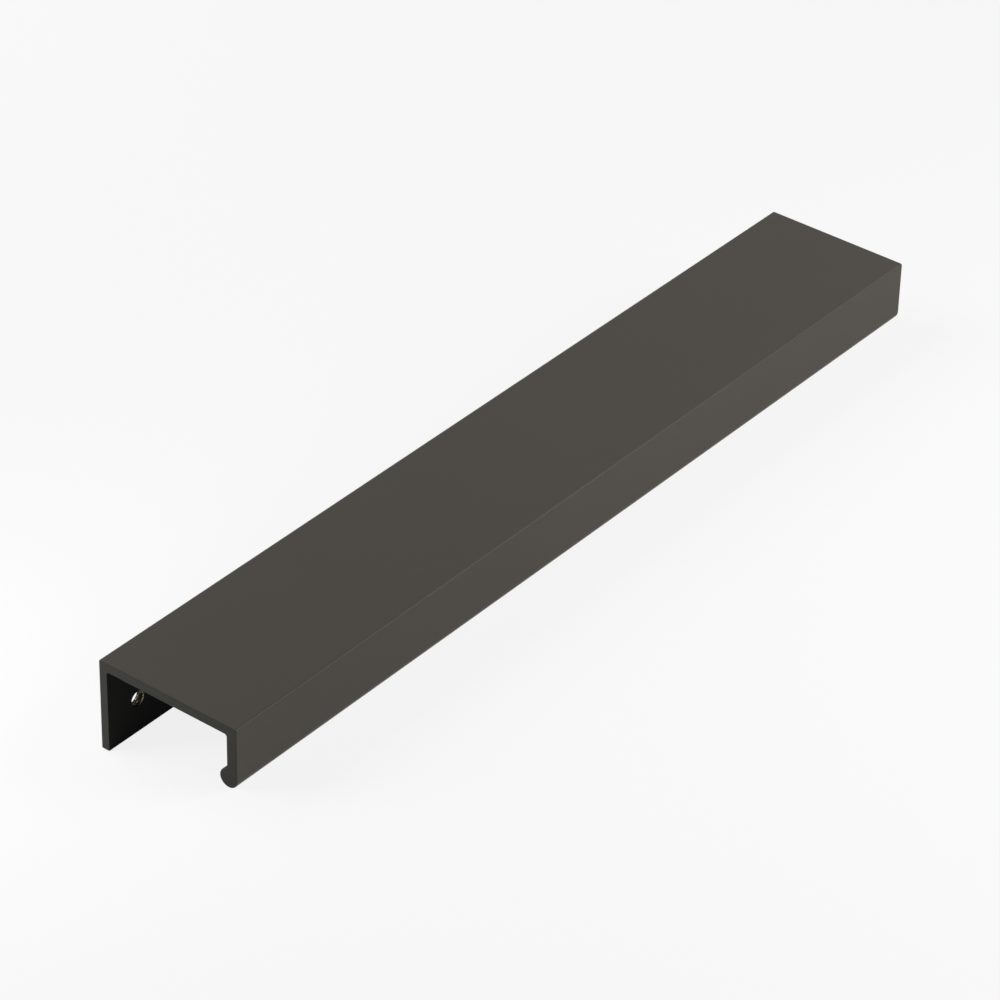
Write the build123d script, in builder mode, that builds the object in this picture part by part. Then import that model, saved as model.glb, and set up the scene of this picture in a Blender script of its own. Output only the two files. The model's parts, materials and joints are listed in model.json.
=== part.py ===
from build123d import *

import math
import os

# Handleless finger pull profile: one length of extruded aluminium that hooks over the edge of
# a cabinet door. A flat web lies on the door's edge, a tall leg goes down behind the door and
# takes the screws, and a shorter lip hangs in front of it and leaves room for the fingers. The
# lip ends in a round bead, so that no sharp edge meets them.
#
# The section is drawn from its top front edge, with the first axis towards the back and the
# second axis up, and runs along X. The piece stands as it comes to rest on a level floor: the
# leg is longer than the lip, so the piece leans forward, onto the bead and the inner edge of the
# leg's foot. The origin is on the floor, under the middle of the piece.

# Overall sizes of the profile, in millimetres.
length = 200.0
profile_depth = 31.6
leg_height = 19.2
lip_height = 13.1

# Wall thicknesses.
web_thickness = 2.0
leg_thickness = 1.8
lip_thickness = 2.25

# The bead at the foot of the lip. It is flush with the lip's front face.
bead_radius = 1.95

# Roundings that the die leaves along the profile.
outer_corner_radius = 0.4
root_corner_radius = 0.5
foot_corner_radius = 0.2
bead_neck_radius = 0.4

# Screw holes through the leg, one near each end.
screw_hole_diameter = 3.0
screw_hole_from_end = 7.5
screw_hole_below_top = 12.0

# Centres of the bead, and of the rounded inner edge of the leg's foot.
bead_centre_back = bead_radius
bead_centre_up = bead_radius - lip_height
foot_centre_back = profile_depth - leg_thickness + foot_corner_radius
foot_centre_up = foot_corner_radius - leg_height

# The floor is the line that touches both of these roundings from below, and the lean is its
# angle in the section.
contact_run = foot_centre_back - bead_centre_back
contact_drop = bead_centre_up - foot_centre_up
radius_step = bead_radius - foot_corner_radius
lean = math.atan2(contact_drop, contact_run) - math.asin(
    radius_step / math.hypot(contact_run, contact_drop)
)
leaning_plane = Plane(
    origin=(0, 0, 0),
    x_dir=(0, math.cos(lean), math.sin(lean)),
    z_dir=(1, 0, 0),
)

# The outline of the section reaches no further than its outer roundings. Each is given by its
# centre, back and up, and its radius.
outer_roundings = [
    (outer_corner_radius, -outer_corner_radius, outer_corner_radius),
    (profile_depth - outer_corner_radius, -outer_corner_radius, outer_corner_radius),
    (profile_depth - foot_corner_radius, foot_centre_up, foot_corner_radius),
    (foot_centre_back, foot_centre_up, foot_corner_radius),
    (bead_centre_back, bead_centre_up, bead_radius),
]
leaned_roundings = [
    (leaning_plane.from_local_coords((back, up)), radius)
    for back, up, radius in outer_roundings
]
section_front = min(centre.Y - radius for centre, radius in leaned_roundings)
section_back = max(centre.Y + radius for centre, radius in leaned_roundings)
section_foot = min(centre.Z - radius for centre, radius in leaned_roundings)

# The saw cut at the low end of X, with its origin at the section's top front edge.
section_plane = Plane(
    origin=(-length / 2, -(section_front + section_back) / 2, -section_foot),
    x_dir=leaning_plane.x_dir,
    z_dir=leaning_plane.z_dir,
)

# The middle of the leg's wall, seen from behind, with its second axis down from the top.
leg_plane = Plane(
    origin=section_plane.from_local_coords((profile_depth - leg_thickness / 2, 0)),
    x_dir=section_plane.z_dir,
    z_dir=section_plane.x_dir,
)

with BuildPart() as pull_profile:
    with BuildSketch(section_plane) as section:
        # The web, with the leg behind it.
        Rectangle(profile_depth, web_thickness, align=(Align.MIN, Align.MAX))
        with Locations((profile_depth, 0)):
            Rectangle(leg_thickness, leg_height, align=(Align.MAX, Align.MAX))

        # The lip in front, down to the bead.
        Rectangle(lip_thickness, -bead_centre_up, align=(Align.MIN, Align.MAX))
        with Locations((bead_centre_back, bead_centre_up)):
            Circle(bead_radius)

        # The corners lie level in pairs. The leg's foot is lowest. From the top down come the
        # outer corners, the roots of the leg and the lip, and the neck of the bead.
        fillet(section.vertices().group_by(Axis.Y)[0], foot_corner_radius)
        fillet(section.vertices().group_by(Axis.Y)[-3], bead_neck_radius)
        fillet(section.vertices().group_by(Axis.Y)[-2], root_corner_radius)
        fillet(section.vertices().group_by(Axis.Y)[-1], outer_corner_radius)
    extrude(amount=length)

    # The screw holes, drilled square to the leg and well short of the lip.
    with Locations(leg_plane):
        with Locations((length / 2, screw_hole_below_top)):
            with GridLocations(length - 2 * screw_hole_from_end, 0, 2, 1):
                Hole(screw_hole_diameter / 2, depth=leg_thickness)

pull_profile.part.label = "pull_profile"

os.makedirs("parts", exist_ok=True)
export_step(pull_profile.part, "parts/pull_profile.step")
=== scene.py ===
"""The looks of a handleless finger pull: an aluminium profile with a matte graphite coat."""

import json
import math

import bmesh
import bpy
from bpy.props import FloatProperty, FloatVectorProperty, PointerProperty
from bpy.types import Operator, Panel, PropertyGroup
from mathutils import Matrix, Vector


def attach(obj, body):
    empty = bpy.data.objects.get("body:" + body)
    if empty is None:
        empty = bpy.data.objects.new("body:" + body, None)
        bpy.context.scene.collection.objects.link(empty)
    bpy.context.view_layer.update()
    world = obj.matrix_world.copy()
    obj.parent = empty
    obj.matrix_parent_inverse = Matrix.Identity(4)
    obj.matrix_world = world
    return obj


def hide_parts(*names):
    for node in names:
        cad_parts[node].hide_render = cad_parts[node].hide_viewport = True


bl_info = {
    "name": "Handleless Finger Pull",
    "version": (1, 0, 0),
    "blender": (4, 5, 0),
    "location": "3D View > Sidebar > Finger Pull",
    "description": "Builds a coated aluminium finger pull profile in a small studio",
    "category": "Add Mesh",
}

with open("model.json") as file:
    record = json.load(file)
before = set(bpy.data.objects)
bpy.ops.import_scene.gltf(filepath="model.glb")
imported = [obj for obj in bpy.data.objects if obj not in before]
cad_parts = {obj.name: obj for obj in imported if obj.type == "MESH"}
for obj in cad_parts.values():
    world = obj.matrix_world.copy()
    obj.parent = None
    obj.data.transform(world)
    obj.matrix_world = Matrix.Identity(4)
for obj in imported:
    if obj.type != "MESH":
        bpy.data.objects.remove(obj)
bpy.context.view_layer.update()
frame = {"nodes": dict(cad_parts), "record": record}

MM = 0.001
TINY = 0.01 * MM

# The mounts of the profile give the directions of its section, which leans forward at rest.
mounts = {mount["name"]: mount for mount in frame["record"]["mounts"]}
ALONG = Vector((1, 0, 0))
BACK = Vector(mounts["left_screw_hole"]["axis"]).normalized()
UP = ALONG.cross(BACK)
LEAN = math.atan2(BACK.z, BACK.y)

NODE = "pull_profile"
cad_points = [vertex.co.copy() for vertex in frame["nodes"][NODE].data.vertices]


def reach(direction, points):
    """The lowest and the highest of some points along a direction."""
    places = [point.dot(direction) for point in points]
    return min(places), max(places)


LOW_END, HIGH_END = reach(ALONG, cad_points)
FRONT, REAR = reach(BACK, cad_points)
FOOT, TOP = reach(UP, cad_points)
lip_points = [point for point in cad_points if point.dot(BACK) < (FRONT + REAR) / 2]
LIP_FOOT = reach(UP, lip_points)[0]

# The top front corner of the section at its low end, as it would be without its rounding.
CORNER = ALONG * LOW_END + BACK * FRONT + UP * TOP


def section_point(along, back, up):
    """A point given from the low end, the front face and the top face."""
    return CORNER + ALONG * along + BACK * back + UP * up


def mount_place(name, direction):
    """How far a mount lies from the section's corner in one of its directions."""
    return (Vector(mounts[name]["pos_m"]) - CORNER).dot(direction)


def add_object(name, data):
    """Links a new object to the scene."""
    item = bpy.data.objects.new(name, data)
    bpy.context.scene.collection.objects.link(item)
    return item


def add_mesh(name, bm, materials):
    """Links a new object that shows a finished mesh in its materials."""
    mesh = bpy.data.meshes.new(name)
    bm.to_mesh(mesh)
    bm.free()
    for material in materials:
        mesh.materials.append(material)
    return add_object(name, mesh)


class ProfileSizes(PropertyGroup):
    """Sizes of the profile. The frame gives those that the solid part fixes."""

    length: FloatProperty(
        name="Length", description="Length between the saw cuts",
        default=HIGH_END - LOW_END, unit="LENGTH", precision=4,
    )
    depth: FloatProperty(
        name="Depth", description="From the front of the lip to the back of the leg",
        default=REAR - FRONT, unit="LENGTH", precision=4,
    )
    leg_height: FloatProperty(
        name="Leg height", description="Height of the leg behind the door, with the web",
        default=TOP - FOOT, unit="LENGTH", precision=4,
    )
    lip_height: FloatProperty(
        name="Lip height", description="Height of the lip in front of the door, with the web",
        default=TOP - LIP_FOOT, unit="LENGTH", precision=4,
    )
    web_thickness: FloatProperty(
        name="Web thickness", description="Wall that lies on the edge of the door",
        default=-mount_place("door_edge_seat", UP), unit="LENGTH", precision=4,
    )
    leg_thickness: FloatProperty(
        name="Leg thickness", description="Wall behind the door",
        default=REAR - FRONT - mount_place("door_back_seat", BACK), unit="LENGTH", precision=4,
    )
    lip_thickness: FloatProperty(
        name="Lip thickness", description="Wall in front of the door",
        default=2.25 * MM, unit="LENGTH", precision=4,
    )
    bead_radius: FloatProperty(
        name="Bead radius", description="Radius of the round bead at the foot of the lip",
        default=1.95 * MM, unit="LENGTH", precision=4,
    )
    outer_radius: FloatProperty(
        name="Outer corner radius", description="Rounding of the long edges of the web",
        default=0.4 * MM, unit="LENGTH", precision=5,
    )
    root_radius: FloatProperty(
        name="Root radius", description="Rounding where the leg and the lip meet the web",
        default=0.5 * MM, unit="LENGTH", precision=5,
    )
    foot_radius: FloatProperty(
        name="Foot radius", description="Rounding of the edges of the leg's foot",
        default=0.2 * MM, unit="LENGTH", precision=5,
    )
    neck_radius: FloatProperty(
        name="Neck radius", description="Rounding where the bead leaves the lip",
        default=0.4 * MM, unit="LENGTH", precision=5,
    )
    edge_break: FloatProperty(
        name="Edge break", description="Width of the break along the saw cuts",
        default=0.12 * MM, unit="LENGTH", precision=5,
    )
    inner_rim_break: FloatProperty(
        name="Inner rim break", description="Break round the screw holes, towards the door",
        default=0.06 * MM, unit="LENGTH", precision=5,
    )
    outer_rim_break: FloatProperty(
        name="Outer rim break", description="Break round the screw holes, at the back",
        default=0.30 * MM, unit="LENGTH", precision=5,
    )
    hole_radius: FloatProperty(
        name="Screw hole radius", description="Radius of the holes through the leg",
        default=mounts["left_screw_hole"]["dims"]["r_mm"] * MM, unit="LENGTH", precision=4,
    )
    hole_from_end: FloatProperty(
        name="Screw hole from end", description="From a saw cut to the middle of a hole",
        default=mount_place("left_screw_hole", ALONG), unit="LENGTH", precision=4,
    )
    hole_below_top: FloatProperty(
        name="Screw hole below top", description="From the top face to the middle of a hole",
        default=-mount_place("left_screw_hole", UP), unit="LENGTH", precision=4,
    )


class ProfileColours(PropertyGroup):
    """Colours of the profile's finishes, with a painted highlight and painted shade among them."""

    coat: FloatVectorProperty(
        name="Coat", description="Matte graphite coat",
        default=(0.0568, 0.0504, 0.0402), subtype="COLOR", size=3, min=0, max=1,
    )
    # Painted highlight: a lighter coat along the web's long rounded edges stands in for the light
    # they catch.
    painted_edge_highlight: FloatVectorProperty(
        name="Worn edges", description="Coat rubbed thin along the long outer edges",
        default=(0.080, 0.073, 0.062), subtype="COLOR", size=3, min=0, max=1,
    )
    # Painted shade: a darker coat in the hollow that the door fills, where little light reaches.
    hollow_painted_shade: FloatVectorProperty(
        name="Hollow", description="Coat inside the hollow that the door fills",
        default=(0.0225, 0.022, 0.021), subtype="COLOR", size=3, min=0, max=1,
    )
    sawn_coat: FloatVectorProperty(
        name="Sawn ends", description="Coat on the saw cuts",
        default=(0.0450, 0.0445, 0.0402), subtype="COLOR", size=3, min=0, max=1,
    )
    bare_metal: FloatVectorProperty(
        name="Bare metal", description="Aluminium laid bare by the drill",
        default=(0.30, 0.26, 0.16), subtype="COLOR", size=3, min=0, max=1,
    )
    # Painted shade: a dark colour on the walls of the holes stands in for the shade inside them.
    bore_painted_shade: FloatVectorProperty(
        name="Stained metal", description="Oil and coat on the walls of the holes",
        default=(0.011, 0.009, 0.005), subtype="COLOR", size=3, min=0, max=1,
    )


class StudioSettings(PropertyGroup):
    """Camera and light of the studio."""

    azimuth: FloatProperty(
        name="Azimuth", description="Where the camera stands round the profile",
        default=math.radians(-46.803), subtype="ANGLE",
    )
    elevation: FloatProperty(
        name="Elevation", description="Height of the camera above the horizon",
        default=math.radians(26.359), subtype="ANGLE",
    )
    roll: FloatProperty(
        name="Roll", description="Turn of the camera about its own axis",
        default=math.radians(-9.303), subtype="ANGLE",
    )
    aim: FloatVectorProperty(
        name="Aim", description="Point at the centre of the picture",
        default=(-0.004717, 0.002883, 0.006055), subtype="TRANSLATION", size=3, precision=6,
    )
    distance: FloatProperty(
        name="Distance", description="From the camera to its aim",
        default=0.82322, unit="LENGTH",
    )
    lens: FloatProperty(
        name="Lens", description="Focal length in millimetres",
        default=158.66,
    )
    floor_colour: FloatVectorProperty(
        name="Floor", description="Colour of the studio floor",
        default=(0.93, 0.93, 0.93), subtype="COLOR", size=3, min=0, max=1,
    )
    floor_whitening: FloatProperty(
        name="Floor whitening", description="How far the floor looks whiter than it is lit",
        default=0.85, min=0, max=1,
    )
    room_level: FloatProperty(
        name="Room level", description="Brightness of the room around the profile",
        default=0.047, min=0,
    )


# Materials. Their formulas work in millimetres.

def operator(operation, reflected=False):
    """A Python operator that adds a Math node."""

    def method(self, other):
        operands = (other, self) if reflected else (self, other)
        inputs = dict(enumerate(operands))
        return self.shader.node("ShaderNodeMath", {"operation": operation}, inputs)

    return method


class Value:
    """A socket in a shader formula. Sums and products with it add Math nodes."""

    def __init__(self, shader, socket):
        self.shader = shader
        self.socket = socket

    __add__ = operator("ADD")
    __radd__ = operator("ADD", True)
    __sub__ = operator("SUBTRACT")
    __rsub__ = operator("SUBTRACT", True)
    __mul__ = operator("MULTIPLY")
    __rmul__ = operator("MULTIPLY", True)
    __pow__ = operator("POWER")

    def absolute(self):
        """The value without its sign."""
        return self.shader.node("ShaderNodeMath", {"operation": "ABSOLUTE"}, {0: self})

    def ramp(self, low, high):
        """A smooth step from 0 at low to 1 at high."""
        settings = {"interpolation_type": "SMOOTHSTEP"}
        inputs = {"Value": self, "From Min": low, "From Max": high}
        return self.shader.node("ShaderNodeMapRange", settings, inputs)


class Shader:
    """The node tree of a material or a world."""

    def __init__(self, owner):
        owner.use_nodes = True
        self.tree = owner.node_tree
        self.tree.nodes.clear()

    def node(self, kind, settings=None, inputs=None, output=0):
        """Adds a node: first its settings, then the values or links of its sockets."""
        node = self.tree.nodes.new(kind)
        for name, value in (settings or {}).items():
            setattr(node, name, value)
        for name, value in (inputs or {}).items():
            if isinstance(value, Value):
                self.tree.links.new(value.socket, node.inputs[name])
            else:
                node.inputs[name].default_value = value
        return Value(self, node.outputs[output] if node.outputs else None)

    def section_millimetres(self):
        """Along, back and up in the section, in millimetres from its top front corner."""
        point = self.node("ShaderNodeTexCoord", output="Object")
        turn, scale = (LEAN, 0, 0), (MM, MM, MM)
        inputs = {"Vector": point, "Location": CORNER, "Rotation": turn, "Scale": scale}
        return self.node("ShaderNodeMapping", {"vector_type": "TEXTURE"}, inputs)

    def part(self, vector, axis):
        """One of the three numbers of a vector."""
        return self.node("ShaderNodeSeparateXYZ", inputs={"Vector": vector}, output=axis)

    def stretched(self, vector, scale):
        """A vector with each of its numbers multiplied."""
        inputs = {0: vector, 1: scale}
        return self.node("ShaderNodeVectorMath", {"operation": "MULTIPLY"}, inputs)

    def noise(self, vector, scale, detail=2.0):
        """Noise around 0.5, with so many features to a millimetre."""
        inputs = {"Vector": vector, "Scale": scale, "Detail": detail}
        return self.node("ShaderNodeTexNoise", inputs=inputs)

    def mix(self, factor, first, second):
        """A blend of two colours."""
        inputs = {0: factor, 6: first, 7: second}
        return self.node("ShaderNodeMix", {"data_type": "RGBA"}, inputs, output=2)

    def tones(self, factor, colour, spread):
        """A colour that runs from a little darker to as much lighter."""
        return self.mix(factor, shade(colour, 1 - spread), shade(colour, 1 + spread))

    def bump(self, height, depth):
        """A bumped normal. The height runs from 0 to 1 over a depth in metres."""
        return self.node("ShaderNodeBump", inputs={"Height": height, "Distance": depth})

    def in_view(self):
        """1 for what the camera sees, also in a mirror or through glass, and 0 for other light."""
        direct = self.node("ShaderNodeLightPath", output="Is Camera Ray")
        mirrored = self.node("ShaderNodeLightPath", output="Is Glossy Ray")
        through = self.node("ShaderNodeLightPath", output="Is Transmission Ray")
        return direct + mirrored + through

    def blend(self, factor, first, second):
        """A blend of two surface shaders."""
        return self.node("ShaderNodeMixShader", inputs={0: factor, 1: first, 2: second})

    def finish(self, surface, kind="ShaderNodeOutputMaterial"):
        """Ends the tree with a surface shader."""
        self.node(kind, inputs={"Surface": surface})


def rgba(colour):
    """A colour with full alpha."""
    return (*colour, 1.0)


def shade(colour, factor):
    """A colour made lighter or darker."""
    return (*(part * factor for part in colour), 1.0)


def new_material(name):
    """An empty material and its node tree."""
    material = bpy.data.materials.new(name)
    return material, Shader(material)


# How glossy each finish is, as a specular level, and how rough.
MATTE_GLOSS = 0.2
HOLLOW_GLOSS = 0.01
SAWN_GLOSS = 0.1
BORE_GLOSS = 0.04
COAT_ROUGHNESS = 0.47
SAWN_ROUGHNESS = 0.50
BORE_ROUGHNESS = 0.70

# How far the tones of a finish reach, as a share of its colour.
COAT_SPREAD = 0.12
SAWN_SPREAD = 0.15

# How deep the relief of each finish is.
COAT_RELIEF = 0.003 * MM
SAWN_RELIEF = 0.004 * MM
BORE_RELIEF = 0.05 * MM

# Features to a millimetre: of grain, and along, back and up for patterns that run one way.
COAT_GRAIN = 5.0
COAT_CLOUDS = 0.06
DIE_LINES = (0.004, 3.0, 3.0)
SAWN_GRAIN = 6.0
SAW_ARCS = 1.6
DRILL_TURNS = (0.6, 8.0, 0.6)
DRILL_SPECKS = 3.0

# The middle of the saw blade's arcs, back and up from the corner.
BLADE_BACK, BLADE_UP = 60, -70

# How far the painted edge highlight takes to grow from the low end, where it begins and ends across
# the
#  rounding of the web's edges, and how far down it reaches.
HIGHLIGHT_RUN = 110
HIGHLIGHT_BEGINS, HIGHLIGHT_ENDS = (-0.25, 0.05), (0.30, 0.55)
HIGHLIGHT_LOWEST = (-0.5, -0.35)

# Where the painted highlight on one side of a hole begins, from the middle of a hole, and how far
# it takes
#  to grow.
HIGHLIGHT_SIDE_BEGINS, HIGHLIGHT_SIDE_RUN = 0.5, 1.5

# The ring of bare metal at the rim of a screw hole: its grain, and how ragged and how soft its
# edge is.
RING_GRAIN = 2.5
RING_RAGGED, RING_SOFT = 0.08, 0.04

# How deep in a screw hole its bright rim, a painted highlight, ends, and where a fainter ridge
# begins and ends.
RIM_ENDS = (0.12, 0.25)
RIDGE_BEGINS, RIDGE_ENDS = (0.5, 0.9), (1.1, 1.4)

# The values between which the wall of a hole turns from its painted shade to bright metal.
BRIGHTENS = (0.60, 0.70)


def past_hole(along, sizes):
    """How far a point lies from a screw hole's middle towards its saw cut."""
    half = sizes.length / MM / 2
    return (along - half).absolute() - (half - sizes.hole_from_end / MM)


def highlit_hole_side(hole_along):
    """1 on the side of a screw hole away from its saw cut, which gets a painted highlight."""
    return (HIGHLIGHT_SIDE_BEGINS - hole_along).ramp(0, HIGHLIGHT_SIDE_RUN)


def coat_material(name, base, gloss, sizes, colours):
    """Matte graphite coat: a fine grain over faint lines from the die, with a painted highlight
    along the web's long edges, scraped at the holes on one side only, which is partly a painted
    highlight.
    """
    material, shader = new_material(name)
    place = shader.section_millimetres()
    grain = shader.noise(place, COAT_GRAIN, detail=3.0)
    cloud = shader.noise(place, COAT_CLOUDS)
    die_lines = shader.noise(shader.stretched(place, DIE_LINES), 1.0, detail=3.0)
    tone = 0.5 + 0.5 * (grain - 0.5) + 0.3 * (cloud - 0.5) + 0.25 * (die_lines - 0.5)
    colour = shader.tones(tone, base, COAT_SPREAD)

    # A painted highlight lies on the rounding at the front and the back of the web, faintest at
    #  the low end. The place across it is below 0 on those two faces, and above 0 on the top.
    along, back, up = (shader.part(place, axis) for axis in range(3))
    middle = sizes.depth / MM / 2
    from_face = middle - (back - middle).absolute()
    across = from_face + up
    edge_highlight = across.ramp(*HIGHLIGHT_BEGINS) * (1 - across.ramp(*HIGHLIGHT_ENDS)) * up.ramp(*HIGHLIGHT_LOWEST)
    edge_highlight = edge_highlight * (0.1 + 0.9 * along.ramp(0, HIGHLIGHT_RUN)) * (0.7 + 0.6 * grain)
    colour = shader.mix(edge_highlight, colour, rgba(colours.painted_edge_highlight))

    # A hair of bare metal shows where the drill broke the coat; it shows only on the side of each
    # hole away from its saw cut, and that one-sided brightness is a painted highlight.
    hole_along = past_hole(along, sizes)
    hole_up = up + sizes.hole_below_top / MM
    from_axis = (hole_along * hole_along + hole_up * hole_up) ** 0.5
    on_leg = back.ramp(middle, middle + 1)
    rim = (sizes.hole_radius + sizes.inner_rim_break) / MM
    ring = rim + RING_RAGGED * (shader.noise(place, RING_GRAIN) - 0.4)
    bare = (1 - (from_axis - ring).ramp(0, RING_SOFT)) * on_leg * highlit_hole_side(hole_along)

    inputs = {
        "Base Color": shader.mix(bare, colour, rgba(colours.bare_metal)),
        "Metallic": bare,
        "Roughness": COAT_ROUGHNESS + 0.10 * (grain - 0.5) + 0.06 * (die_lines - 0.5) - 0.10 * bare,
        "Specular IOR Level": gloss,
        "Normal": shader.bump(0.8 * grain + 0.2 * die_lines, COAT_RELIEF),
    }
    shader.finish(shader.node("ShaderNodeBsdfPrincipled", inputs=inputs))
    return material


def sawn_material(colours):
    """The coat over a saw cut: the blade's shallow arcs still show."""
    material, shader = new_material("sawn_coat")
    place = shader.section_millimetres()
    settings = {"wave_type": "RINGS", "rings_direction": "X"}
    inputs = {"Vector": place, "Location": (0, -BLADE_BACK, -BLADE_UP)}
    from_blade = shader.node("ShaderNodeMapping", inputs=inputs)
    inputs = {
        "Vector": from_blade, "Scale": SAW_ARCS,
        "Distortion": 1.5, "Detail": 2.0, "Detail Scale": 3.0,
    }
    arcs = shader.node("ShaderNodeTexWave", settings, inputs, output=1)
    grain = shader.noise(place, SAWN_GRAIN, detail=3.0)
    tone = 0.5 + 0.35 * (arcs - 0.5) + 0.6 * (grain - 0.5)
    inputs = {
        "Base Color": shader.tones(tone, colours.sawn_coat, SAWN_SPREAD),
        "Roughness": SAWN_ROUGHNESS + 0.10 * (arcs - 0.5) + 0.08 * (grain - 0.5),
        "Specular IOR Level": SAWN_GLOSS,
        "Normal": shader.bump(0.7 * arcs + 0.3 * grain, SAWN_RELIEF),
    }
    shader.finish(shader.node("ShaderNodeBsdfPrincipled", inputs=inputs))
    return material


def bore_material(sizes, colours):
    """Drilled aluminium, painted dark as the shade inside the holes, bright in specks, and with a
    painted highlight on half of the rim.
    """
    material, shader = new_material("drilled_aluminium")
    place = shader.section_millimetres()
    turns = shader.noise(shader.stretched(place, DRILL_TURNS), 1.0)
    specks = shader.noise(place, DRILL_SPECKS)
    highlit_side = highlit_hole_side(past_hole(shader.part(place, 0), sizes))
    from_inside = shader.part(place, 1) - (sizes.depth - sizes.leg_thickness) / MM
    # The bright rim on one side of the hole, and the lift of that whole side, are a painted
    # highlight.
    rim = (1 - from_inside.ramp(*RIM_ENDS)) * highlit_side
    ridge = from_inside.ramp(*RIDGE_BEGINS) * (1 - from_inside.ramp(*RIDGE_ENDS))
    metal = 0.3 * turns + 0.7 * specks + 0.14 * rim + 0.05 * ridge + 0.04 * highlit_side
    bright = metal.ramp(*BRIGHTENS)
    inputs = {
        "Base Color": shader.mix(bright, rgba(colours.bore_painted_shade), rgba(colours.bare_metal)),
        "Metallic": bright,
        "Roughness": BORE_ROUGHNESS - 0.25 * bright,
        "Specular IOR Level": BORE_GLOSS,
        "Normal": shader.bump(0.5 * turns + 0.5 * specks, BORE_RELIEF),
    }
    shader.finish(shader.node("ShaderNodeBsdfPrincipled", inputs=inputs))
    return material


# The profile

# The last slot holds the coat darkened as painted shade inside the hollow.
COAT, SAWN, BORE, SHADED_HOLLOW = range(4)
BEAD_STEPS = 30
HOLE_STEPS = 48
CORNER_SEGMENTS = 5
BREAK_SEGMENTS = 2

# Points nearer to each other than this are one point, and directions with a larger cosine
# between them are one direction.
SAME_POINT = TINY / 10
SAME_DIRECTION = 0.999


def draw_line(bm, points):
    """Draws an open line through some points."""
    verts = [bm.verts.new(point) for point in points]
    edges = [bm.edges.new(pair) for pair in zip(verts, verts[1:])]
    return verts, edges


def only(kind, items):
    """The vertices, edges or faces among the items of a result."""
    return [item for item in items if isinstance(item, kind)]


def draw_section(bm, sizes):
    """Draws the section at the low end as one face, with sharp corners and a round bead."""
    inner_leg = sizes.depth - sizes.leg_thickness
    bead_up = sizes.bead_radius - sizes.lip_height
    neck_back = sizes.lip_thickness - sizes.bead_radius
    neck_rise = math.sqrt(sizes.bead_radius**2 - neck_back**2)
    line, _ = draw_line(bm, [
        section_point(0, 0, 0),
        section_point(0, sizes.depth, 0),
        section_point(0, sizes.depth, -sizes.leg_height),
        section_point(0, inner_leg, -sizes.leg_height),
        section_point(0, inner_leg, -sizes.web_thickness),
        section_point(0, sizes.lip_thickness, -sizes.web_thickness),
        section_point(0, sizes.lip_thickness, bead_up + neck_rise),
    ])

    # The bead runs from its neck round the inside and the foot to the lip's front face.
    neck_angle = math.atan2(neck_rise, neck_back)
    spun = bmesh.ops.spin(
        bm, geom=[line[-1]], cent=section_point(0, sizes.bead_radius, bead_up), axis=ALONG,
        angle=-(neck_angle + math.pi), steps=BEAD_STEPS, use_merge=False, use_duplicate=False,
    )
    bead_end = only(bmesh.types.BMVert, spun["geom_last"])[0]
    bm.edges.new((bead_end, line[0]))
    bmesh.ops.contextual_create(bm, geom=bm.edges[:])
    return neck_angle, bead_up + neck_rise


def extrude_section(bm, sizes):
    """Draws the section out to its length."""
    grown = bmesh.ops.extrude_face_region(bm, geom=bm.faces[:])
    drawn = only(bmesh.types.BMVert, grown["geom"])
    bmesh.ops.translate(bm, verts=drawn, vec=ALONG * sizes.length)
    bmesh.ops.recalc_face_normals(bm, faces=bm.faces[:])


def round_edges(bm, edges, width, segments):
    """Rounds some edges by an arc that starts a width away from each."""
    bmesh.ops.bevel(
        bm, geom=edges, offset=width, offset_type="OFFSET", affect="EDGES", segments=segments,
        profile=0.5, material=-1, clamp_overlap=True,
    )


def round_corners(bm, places, width):
    """Rounds the long edges at some corners of the section."""

    def at_a_corner(edge):
        first, second = (vertex.co - CORNER for vertex in edge.verts)
        level = (first - ALONG * first.dot(ALONG)) + CORNER
        runs_along = abs((second - first).dot(ALONG)) > TINY
        corners = (section_point(0, *place) for place in places)
        return runs_along and any((level - corner).length < TINY for corner in corners)

    round_edges(bm, list(filter(at_a_corner, bm.edges)), width, CORNER_SEGMENTS)


def round_all_corners(bm, sizes, neck_angle, neck_up):
    """Gives the section's corners the roundings that the die leaves."""
    inner_leg = sizes.depth - sizes.leg_thickness
    feet = [(sizes.depth, -sizes.leg_height), (inner_leg, -sizes.leg_height)]
    roots = [(inner_leg, -sizes.web_thickness), (sizes.lip_thickness, -sizes.web_thickness)]
    round_corners(bm, [(0, 0), (sizes.depth, 0)], sizes.outer_radius)
    round_corners(bm, feet, sizes.foot_radius)
    round_corners(bm, roots, sizes.root_radius)
    round_corners(
        bm, [(sizes.lip_thickness, neck_up)], sizes.neck_radius * math.tan(neck_angle / 2)
    )

    # The rounding of the neck ends on one of the bead's own points.
    bmesh.ops.remove_doubles(bm, verts=bm.verts[:], dist=SAME_POINT)


def break_saw_cuts(bm, sizes):
    """Marks the two sawn faces and breaks the sharp edges round them."""
    bm.normal_update()
    cuts = [face for face in bm.faces if abs(face.normal.dot(ALONG)) > SAME_DIRECTION]
    for face in bm.faces:
        face.material_index = SAWN if face in cuts else COAT
    edges = [edge for face in cuts for edge in face.edges]
    round_edges(bm, edges, sizes.edge_break, BREAK_SEGMENTS)


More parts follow.
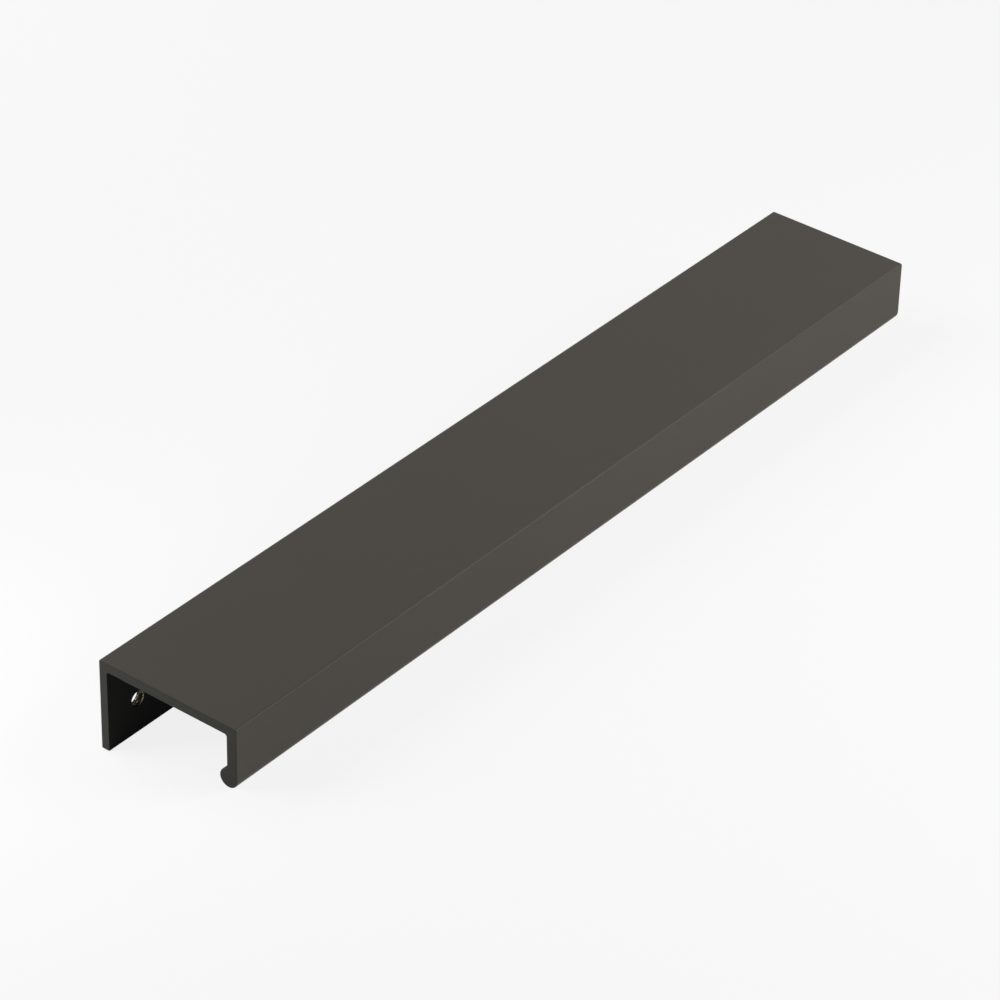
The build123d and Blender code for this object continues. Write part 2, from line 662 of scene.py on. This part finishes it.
def line_hole(bm, sizes, along):
    """Spins the wall of a screw hole, with a break at both rims."""
    inner = sizes.depth - sizes.leg_thickness
    wall = [
        (inner, sizes.hole_radius + sizes.inner_rim_break),
        (inner + sizes.inner_rim_break, sizes.hole_radius),
        (sizes.depth - sizes.outer_rim_break, sizes.hole_radius),
        (sizes.depth, sizes.hole_radius + sizes.outer_rim_break),
    ]
    before = set(bm.faces)
    verts, edges = draw_line(
        bm, [section_point(along, back, radius - sizes.hole_below_top) for back, radius in wall]
    )
    bmesh.ops.spin(
        bm, geom=verts + edges, cent=section_point(along, 0, -sizes.hole_below_top), axis=BACK,
        angle=2 * math.pi, steps=HOLE_STEPS, use_merge=True, use_duplicate=False,
    )
    for face in bm.faces:
        if face not in before:
            face.material_index = BORE


def open_leg(bm, sizes):
    """Cuts the holes out of the two flat faces of the leg, which join the walls of the holes."""
    for back in (sizes.depth - sizes.leg_thickness, sizes.depth):
        level = section_point(0, back, 0).dot(BACK)

        def on_level(item):
            return all(abs(vertex.co.dot(BACK) - level) < SAME_POINT for vertex in item.verts)

        rims = [edge for edge in bm.edges if edge.is_boundary and on_level(edge)]
        flat = next(face for face in bm.faces if on_level(face))
        border = list(flat.edges)
        bmesh.ops.delete(bm, geom=[flat], context="FACES_ONLY")
        bmesh.ops.triangle_fill(
            bm, edges=border + rims, use_beauty=True, use_dissolve=False, normal=BACK,
        )


def mark_shaded_hollow(bm, sizes):
    """Gives the walls round the door a darker coat, which is painted shade in the hollow. The bead
    keeps the coat of the outside.
    """
    hollow_end = sizes.depth - sizes.leg_thickness + sizes.edge_break
    bead_size = 2 * sizes.bead_radius
    for face in bm.faces:
        place = face.calc_center_median() - CORNER
        back, up = place.dot(BACK), place.dot(UP)
        between_walls = sizes.lip_thickness - sizes.edge_break < back < hollow_end
        on_bead = back < bead_size and up < bead_size - sizes.lip_height
        under_web = up < sizes.edge_break - sizes.web_thickness
        if face.material_index == COAT and between_walls and under_web and not on_bead:
            face.material_index = SHADED_HOLLOW


def sharpen_rims(bm):
    """Keeps the rims of the holes sharp, so that the flat faces round them shade evenly."""
    for edge in bm.edges:
        slots = {face.material_index for face in edge.link_faces}
        edge.smooth = BORE not in slots or len(slots) == 1


def build_profile(sizes, colours):
    """Builds the whole profile as one closed mesh."""
    bm = bmesh.new()
    neck_angle, neck_up = draw_section(bm, sizes)
    extrude_section(bm, sizes)
    round_all_corners(bm, sizes, neck_angle, neck_up)
    break_saw_cuts(bm, sizes)
    line_hole(bm, sizes, sizes.hole_from_end)
    line_hole(bm, sizes, sizes.length - sizes.hole_from_end)
    open_leg(bm, sizes)
    mark_shaded_hollow(bm, sizes)
    bmesh.ops.recalc_face_normals(bm, faces=bm.faces[:])
    for face in bm.faces:
        face.smooth = True
    sharpen_rims(bm)
    piece = add_mesh("graphite_profile", bm, [
        coat_material("graphite_coat", colours.coat, MATTE_GLOSS, sizes, colours),
        sawn_material(colours),
        bore_material(sizes, colours),
        coat_material("hollow_painted_shade", colours.hollow_painted_shade, HOLLOW_GLOSS, sizes, colours),
    ])
    piece.modifiers.new("flat_faces_stay_flat", "WEIGHTED_NORMAL").keep_sharp = True
    return piece


class FINGERPULL_OT_profile(Operator):
    """Build the coated profile round the solid part"""

    bl_idname = "finger_pull.profile"
    bl_label = "Build Profile"

    def execute(self, context):
        piece = build_profile(context.scene.finger_pull_sizes, context.scene.finger_pull_colours)
        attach(piece, "root")
        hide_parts(NODE)
        return {"FINISHED"}


# The studio

# Width of the camera's sensor in millimetres, and how near and how far it sees.
SENSOR_WIDTH = 36
NEAREST, FARTHEST = 0.01, 20

# The floor reaches this far each way.
FLOOR_REACH = 4.0

# The height at which the lamps aim.
AIM_HEIGHT = 0.01

WHITE = (1.0, 1.0, 1.0, 1.0)


def towards(azimuth, elevation):
    """The direction of a place in the room. Azimuth 0 is in front of the lip, and +X at 90."""
    level = math.cos(elevation)
    return Vector((math.sin(azimuth) * level, -math.cos(azimuth) * level, math.sin(elevation)))


def hang(name, data, azimuth, elevation, distance, aim, roll=0.0):
    """Adds a camera or a lamp that looks at a point from a distance."""
    direction = towards(azimuth, elevation)
    turn = direction.to_track_quat("Z", "Y")
    holder = add_object(name, data)
    holder.rotation_mode = "QUATERNION"
    holder.rotation_quaternion = turn @ Matrix.Rotation(roll, 3, "Z").to_quaternion()
    holder.location = Vector(aim) + direction * distance
    return holder


def add_camera(studio):
    """Stands the camera where the picture was taken from."""
    camera = bpy.data.cameras.new("studio_camera")
    camera.lens = studio.lens
    camera.sensor_width = SENSOR_WIDTH
    camera.clip_start = NEAREST
    camera.clip_end = FARTHEST
    bpy.context.scene.camera = hang(
        "studio_camera", camera, studio.azimuth, studio.elevation, studio.distance, studio.aim,
        studio.roll,
    )


def add_soft_box(name, azimuth, elevation, distance, size, watts, aim=(0, 0, AIM_HEIGHT)):
    """Hangs a square soft box that faces the profile. Its place is in degrees and metres."""
    lamp = bpy.data.lights.new(name, "AREA")
    lamp.shape = "SQUARE"
    lamp.size = size
    lamp.energy = watts
    holder = hang(name, lamp, math.radians(azimuth), math.radians(elevation), distance, aim)
    holder.visible_camera = False


def paint_world(level):
    """A plain room that is white to look at, and lights the profile softly from all sides."""
    world = bpy.data.worlds.new("studio_room")
    bpy.context.scene.world = world
    shader = Shader(world)
    dim, white = (
        shader.node("ShaderNodeBackground", inputs={"Color": WHITE, "Strength": strength})
        for strength in (level, 1.0)
    )
    shader.finish(shader.blend(shader.in_view(), dim, white), "ShaderNodeOutputWorld")


def floor_material(colour, whitening):
    """A pale floor, whiter to look at, that keeps the profile's shadow and is clear from below."""
    material, shader = new_material("studio_floor")
    pale = shader.node("ShaderNodeBsdfDiffuse", inputs={"Color": rgba(colour)})
    white = shader.node("ShaderNodeEmission", inputs={"Color": WHITE, "Strength": 1.0})
    clear = shader.node("ShaderNodeBsdfTransparent")
    below = shader.node("ShaderNodeNewGeometry", output="Backfacing")
    above = shader.blend(whitening * shader.in_view(), pale, white)
    shader.finish(shader.blend(below, above, clear))
    return material


def add_floor(studio):
    """Lays the floor under the profile."""
    bm = bmesh.new()
    bmesh.ops.create_grid(bm, x_segments=1, y_segments=1, size=FLOOR_REACH)
    material = floor_material(studio.floor_colour, studio.floor_whitening)
    floor = add_mesh("studio_floor", bm, [material])


class FINGERPULL_OT_studio(Operator):
    """Set up the floor, the lamps, the room and the camera"""

    bl_idname = "finger_pull.studio"
    bl_label = "Set Up Studio"

    def execute(self, context):
        studio = context.scene.finger_pull_studio
        context.scene.view_settings.view_transform = "Standard"
        add_floor(studio)
        paint_world(studio.room_level)
        add_soft_box(
            "front_box", azimuth=15, elevation=24, distance=0.40, size=0.25, watts=1.28,
            aim=(0.05, 0, AIM_HEIGHT),
        )
        add_soft_box("rear_box", azimuth=180, elevation=35, distance=0.80, size=0.50, watts=3.4)
        add_soft_box(
            "end_box", azimuth=-150, elevation=22, distance=0.12, size=0.06, watts=0.125,
            aim=(-0.1, 0.016, 0.012),
        )
        add_camera(studio)
        return {"FINISHED"}


class FINGERPULL_PT_sidebar(Panel):
    """Lists the sizes, colours and studio settings"""

    bl_label = "Finger Pull"
    bl_idname = "FINGERPULL_PT_sidebar"
    bl_space_type = "VIEW_3D"
    bl_region_type = "UI"
    bl_category = "Finger Pull"

    def draw(self, context):
        for group in ("finger_pull_sizes", "finger_pull_colours", "finger_pull_studio"):
            settings = getattr(context.scene, group)
            box = self.layout.box()
            for name in settings.__annotations__:
                box.prop(settings, name)
        self.layout.operator(FINGERPULL_OT_profile.bl_idname)
        self.layout.operator(FINGERPULL_OT_studio.bl_idname)


classes = (
    ProfileSizes, ProfileColours, StudioSettings,
    FINGERPULL_OT_profile, FINGERPULL_OT_studio, FINGERPULL_PT_sidebar,
)


def register():
    for item in classes:
        bpy.utils.register_class(item)
    bpy.types.Scene.finger_pull_sizes = PointerProperty(type=ProfileSizes)
    bpy.types.Scene.finger_pull_colours = PointerProperty(type=ProfileColours)
    bpy.types.Scene.finger_pull_studio = PointerProperty(type=StudioSettings)


def unregister():
    del bpy.types.Scene.finger_pull_studio
    del bpy.types.Scene.finger_pull_colours
    del bpy.types.Scene.finger_pull_sizes
    for item in reversed(classes):
        bpy.utils.unregister_class(item)


def main():
    register()
    bpy.ops.finger_pull.profile()
    bpy.ops.finger_pull.studio()


if __name__ == "__main__":
    main()
